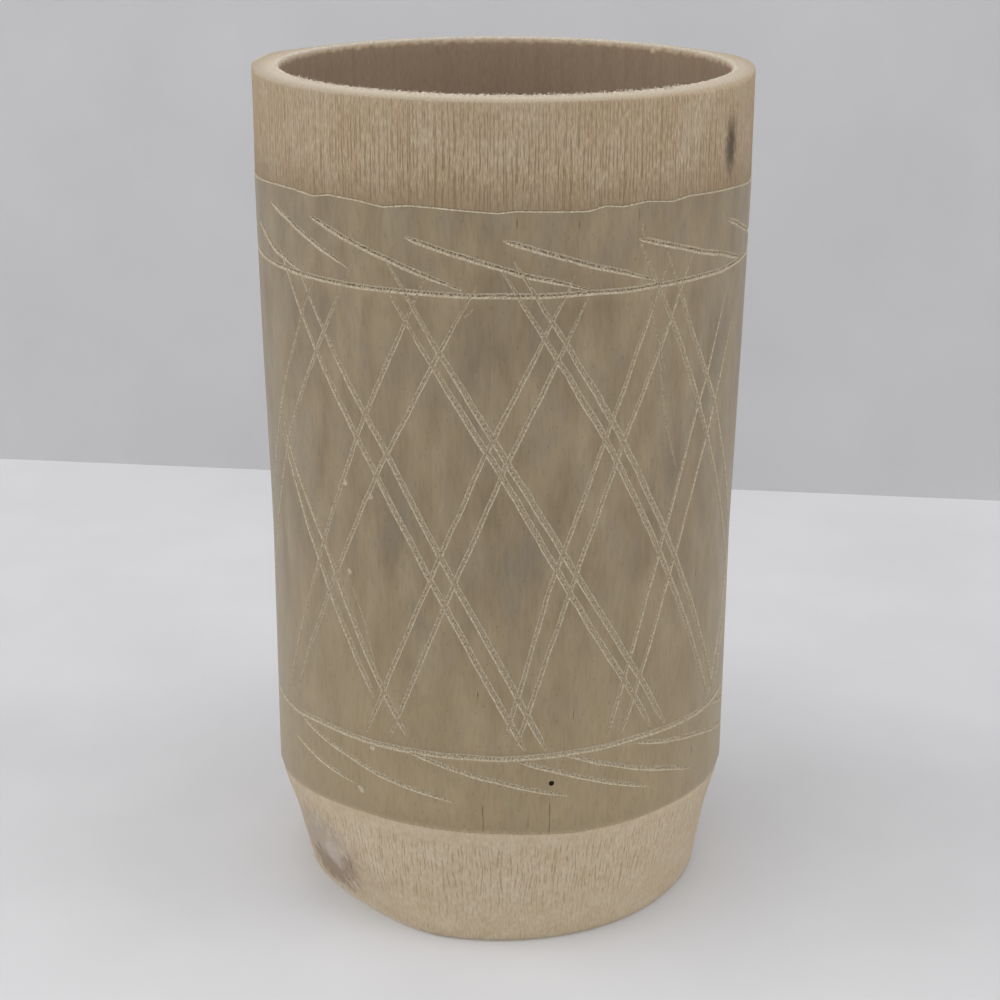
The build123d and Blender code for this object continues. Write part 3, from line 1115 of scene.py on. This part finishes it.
# The dark dots of these groove floors are painted shade of the torn fibres in the hollows.
dots = shaded_cut_dots("torn bundle ends in painted shade", "#6A5D48", "#8C7E66", "#ADA088")
faint_dots = shaded_cut_dots("worn bundle ends in painted shade", "#8B7E67", "#A09379", "#B2A68F")
skin_looks = (
    dried_skin(), cut_edge(), falling_floor, rising_floor, dots, faint_dots, crack_look, hole_look,
)
skin_mesh = cut_away(skin_mesh, cutters, skin_looks)
skin_piece = piece_from("incised_skin", skin_mesh, skin_looks, "outer_rind", sharp_degrees=28)
above_edge = skin_piece.data.attributes.new("above_edge", "FLOAT", "POINT")
for vert, value in zip(skin_piece.data.vertices, above_edge.data):
    angle, _, z = polar(vert.co)
    value.value = z * metre - along(angle, skin_foot_edge)

# Stage: a plain pale cloth under the cup and a plain pale wall behind it, in soft light from all round.
# Both are seen through from behind, so that they hide the cup in no view.


def cloth(name, colour_low, colour_high):
    """Plain pale cloth: matt, with a barely visible unevenness of tone. Its back is clear.

    Under the cup's foot ring, where no camera sees it, it lets light through to the underside.
    """
    material, tree, place = new_material(name)
    tone = body_noise(tree, place, 40.0, 40.0, detail=3.0)
    colour = add_node(tree, "ValToRGB", {"Fac": tone}, ((0.3, colour_low), (0.7, colour_high)))
    matt = add_node(tree, "BsdfDiffuse", {"Color": colour})
    clear = add_node(tree, "BsdfTransparent")
    behind = add_node(tree, "NewGeometry", out="Backfacing")
    level = add_node(tree, "Mapping", {"Vector": place, "Scale": (metre, metre, 0.0)})
    from_axis = add_node(tree, "VectorMath", {0: level}, operation="LENGTH", out="Value")
    under_cup = add_node(tree, "Math", {0: from_axis, 1: foot_radius - 0.2}, operation="LESS_THAN")
    seen = add_node(tree, "LightPath", out="Is Camera Ray")
    unseen = add_node(tree, "Math", {0: under_cup, 1: seen}, operation="SUBTRACT", use_clamp=True)
    open_share = add_node(tree, "Math", {0: behind, 1: unseen}, operation="MAXIMUM")
    either = add_node(tree, "MixShader", {0: open_share, 1: matt, 2: clear})
    add_node(tree, "OutputMaterial", {"Surface": either})
    return material


def stage_sheet(name, place, half_size, material):
    """Flat square of the stage."""
    mesh = bmesh.new()
    bmesh.ops.create_grid(mesh, x_segments=1, y_segments=1, size=half_size, matrix=place)
    sheet = object_from(name, mesh, (material,))
    bpy.context.scene.collection.objects.link(sheet)


wall_distance = 0.197
wall_turn = -6.6
half_stage = 3.0
upright = Matrix.Rotation(radians(wall_turn), 4, "Z") @ Matrix.Rotation(radians(90), 4, "X")
wall_place = Matrix.Translation((0, wall_distance, 0)) @ upright
cloth_gap = 0.00005  # the cloth lies a hair under the foot, so that the two don't coincide
floor_place = Matrix.Translation((0, 0, -cloth_gap))
stage_sheet("floor", floor_place, half_stage, cloth("pale table cloth", "#CBCBCD", "#D1D1D3"))
stage_sheet("backdrop", wall_place, half_stage, cloth("pale wall cloth", "#C1C1C3", "#C7C7C9"))

world = bpy.data.worlds.new("soft light")
world.use_nodes = True
background = world.node_tree.nodes["Background"]
background.inputs["Color"].default_value = linear("#FFFFFF")
background.inputs["Strength"].default_value = 0.87
bpy.context.scene.world = world
lamp_aim = Vector((0, 0, 0.07))


def soft_lamp(name, place, size, power):
    """Large square lamp that looks at the cup."""
    data = bpy.data.lights.new(name, "AREA")
    data.size = size
    data.energy = power
    lamp = bpy.data.objects.new(name, data)
    lamp.location = place
    lamp.rotation_euler = (lamp_aim - Vector(place)).to_track_quat("-Z", "Y").to_euler()
    lamp.visible_camera = False
    bpy.context.scene.collection.objects.link(lamp)


soft_lamp("lamp_above", (-0.1, 0.0, 1.2), size=1.0, power=4.6)
soft_lamp("lamp_left", (-0.9, -0.1, 0.7), size=0.8, power=3.1)
soft_lamp("lamp_right", (0.9, -0.15, 0.7), size=0.8, power=3.0)

focal_pixels = 2059.0
picture_pixels = 1000.0
camera_data = bpy.data.cameras.new("camera")
camera_data.sensor_width = 36.0
camera_data.lens = focal_pixels / picture_pixels * camera_data.sensor_width
camera_data.clip_start = 0.01
camera = bpy.data.objects.new("camera", camera_data)
camera_turn = Matrix.Rotation(radians(0.09), 4, "Z")
camera_tilt = Matrix.Rotation(radians(90 - 19.1), 4, "X")
camera_roll = Matrix.Rotation(radians(0.27), 4, "Z")
camera_place = Matrix.Translation((0.00026, -0.3167, 0.1722))
camera.matrix_world = camera_place @ camera_turn @ camera_tilt @ camera_roll
bpy.context.scene.collection.objects.link(camera)
bpy.context.scene.camera = camera
bpy.context.scene.view_settings.view_transform = "Standard"
